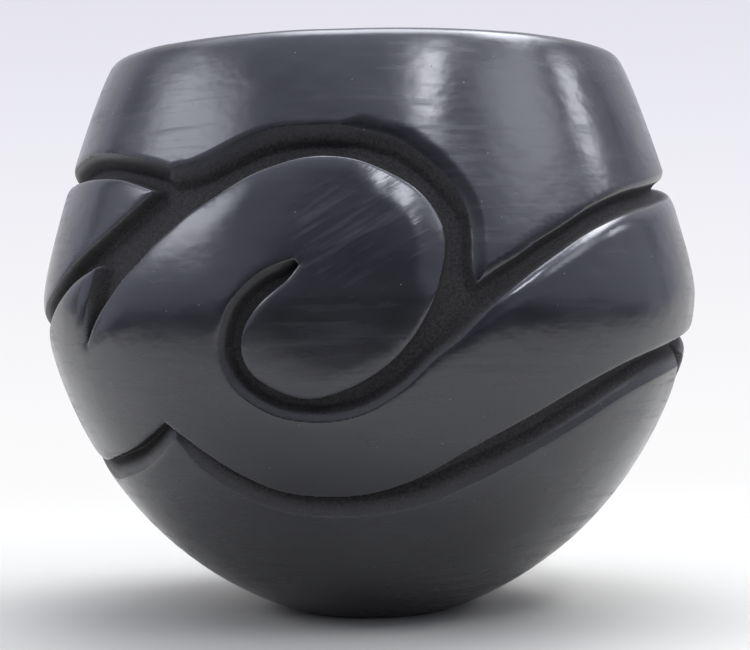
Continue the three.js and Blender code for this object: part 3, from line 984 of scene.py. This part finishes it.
def softbox(name, degrees_round, degrees_up, degrees_wide, degrees_high, brightness, soft_edge, roll):
    """A lamp that faces the jar and fills that much of its view there."""
    way = way_out(degrees_round, degrees_up)
    wide, high = (2 * LAMP_REACH * np.tan(np.radians(size / 2)) for size in (degrees_wide, degrees_high))
    return area_lamp(name, way * LAMP_REACH, -way, wide, high, brightness, soft_edge, roll)


SOFTBOXES = {
    # degrees round and up, degrees wide and high, brightness, soft share of each edge, degrees of roll
    "left_box": (-78, 35, 50, 24, 4.2, 0.35, 0),
    "right_box": (70, 38, 36, 24, 2.4, 0.3, 0),
    "right_slit": (101, 32, 9, 15, 6.5, 0.2, -25),
    "overhead_box": (170, 78, 50, 50, 6, 0.35, 0),
    "left_high_box": (-122, 56, 50, 22, 1, 0.3, 0),
    "right_high_box": (116, 58, 50, 22, 9, 0.3, 0),
}
for name, sizes in SOFTBOXES.items():
    data = softbox(name, *sizes).data
    print(f"{name} {data.size:.2f} by {data.size_y:.2f} m")

# %% The strip under the ceiling
DOWN = Vector((0, 0, -1))
STRIP_PLACE, STRIP_WIDE, STRIP_LONG = (0.71, -1.25, 1.58), 0.34, 1.4
STRIP_BRIGHTNESS, STRIP_SOFT_EDGE = 15, 0.3
strip = area_lamp(
    "ceiling_strip", STRIP_PLACE, DOWN, STRIP_WIDE, STRIP_LONG, STRIP_BRIGHTNESS, STRIP_SOFT_EDGE)
print(f"{strip.name} {strip.location.z:.2f} m over the sheet")

# %% [markdown]
# The jar's pale edges each have a thin dark line inside them. On a set that comes from a flag: an
# upright strip of black card beside the sheet, which the wall mirrors as a line.

# %% Flags of black card
FLAG_DISTANCE = 0.62


def flag(name, degrees_round, degrees_wide, top):
    """A strip of card that fills that much of the jar's view there, from the table up to the top."""
    width = 2 * FLAG_DISTANCE * np.tan(np.radians(degrees_wide / 2))
    middle = way_out(degrees_round, 0) * FLAG_DISTANCE
    side = middle.cross(Vector((0, 0, 1))).normalized() * (width / 2)
    places = [middle - side, middle + side, middle + side, middle - side]
    for place, height in zip(places, (0, 0, top, top)):
        place.z = height
    card_mesh = bpy.data.meshes.new(name)
    card_mesh.from_pydata([tuple(place) for place in places], [], [(0, 1, 2, 3)])
    material, _, card = new_material("black_card")
    card.inputs["Base Color"].default_value = linear("#161616")
    card.inputs["Roughness"].default_value = CARD_ROUGHNESS
    card_mesh.materials.append(material)
    flag_card = add_object(name, card_mesh)
    return width


left_width = flag("left_flag", degrees_round=-115, degrees_wide=4, top=0.6)
right_width = flag("right_flag", degrees_round=118, degrees_wide=2, top=0.45)
print(f"flags {left_width / MM:.0f} and {right_width / MM:.0f} mm wide")

# %% [markdown]
# What the softboxes leave out, the room gives: pale all round, dim behind the camera, darker below
# the table's edge, and bright under the ceiling. Each change runs softly over a part of the view.

# %% The room
ROOM_CHANGES = [
    # part of the direction, where the change starts and ends, light before it and after it
    ("Y", -0.985, -0.72, 0.33, 0.88),
    ("Z", -0.18, -0.02, 0.3, 1.0),
    ("Z", 0.6, 0.95, 0.0, 0.8),
]


def room():
    world = bpy.data.worlds.new("room")
    world.use_nodes = True
    tree = world.node_tree
    tree.nodes.clear()
    way = add_node(tree, "ShaderNodeTexCoord").outputs["Generated"]
    parts = add_node(tree, "ShaderNodeSeparateXYZ", {"Vector": way})
    front, table, ceiling = (
        add_node(tree, "ShaderNodeMapRange", {
            "Value": parts.outputs[part], "From Min": start, "From Max": end, "To Min": before,
            "To Max": after}, interpolation_type="SMOOTHSTEP")
        for part, start, end, before, after in ROOM_CHANGES)
    light = add_node(tree, "ShaderNodeMath", {0: front, 1: table, 2: ceiling}, operation="MULTIPLY_ADD")
    sky = add_node(tree, "ShaderNodeBackground", {"Color": linear("#e2e5fa"), "Strength": light})
    add_node(tree, "ShaderNodeOutputWorld", {"Surface": sky})
    bpy.context.scene.world = world
    return world


print(f"{room().name} set as the world")

# %% [markdown]
# The photograph was taken close, from just below the height of the belly. The camera's distance,
# height and slight roll were found from the jar's outline, which only one place of the camera fits.

# %% Camera
CAMERA_PLACE = Vector((1.02, -364.9, 59.15)) * MM
# How far it looks down and how far it is rolled, in radians.
CAMERA_DOWN = 0.00994
CAMERA_ROLL = -0.01669
FOCAL_PIXELS = 1842.4
PICTURE_WIDTH = 750
SENSOR_WIDTH = 36
NEAREST_SEEN = 10 * MM


def picture_camera():
    forward = Vector((0, np.cos(CAMERA_DOWN), -np.sin(CAMERA_DOWN)))
    level = Vector((1, 0, 0))
    upright = level.cross(forward)
    right = level * np.cos(CAMERA_ROLL) + upright * np.sin(CAMERA_ROLL)
    up = upright * np.cos(CAMERA_ROLL) - level * np.sin(CAMERA_ROLL)
    data = bpy.data.cameras.new("picture_camera")
    data.sensor_width = SENSOR_WIDTH
    data.lens = SENSOR_WIDTH * FOCAL_PIXELS / PICTURE_WIDTH
    data.clip_start = NEAREST_SEEN
    camera = add_object("picture_camera", data)
    turned = Matrix((right, up, -forward)).transposed().to_4x4()
    camera.matrix_world = Matrix.Translation(CAMERA_PLACE) @ turned
    bpy.context.scene.camera = camera
    return camera


print(f"lens {picture_camera().data.lens:.1f} mm")
bpy.context.scene.view_settings.view_transform = "Standard"
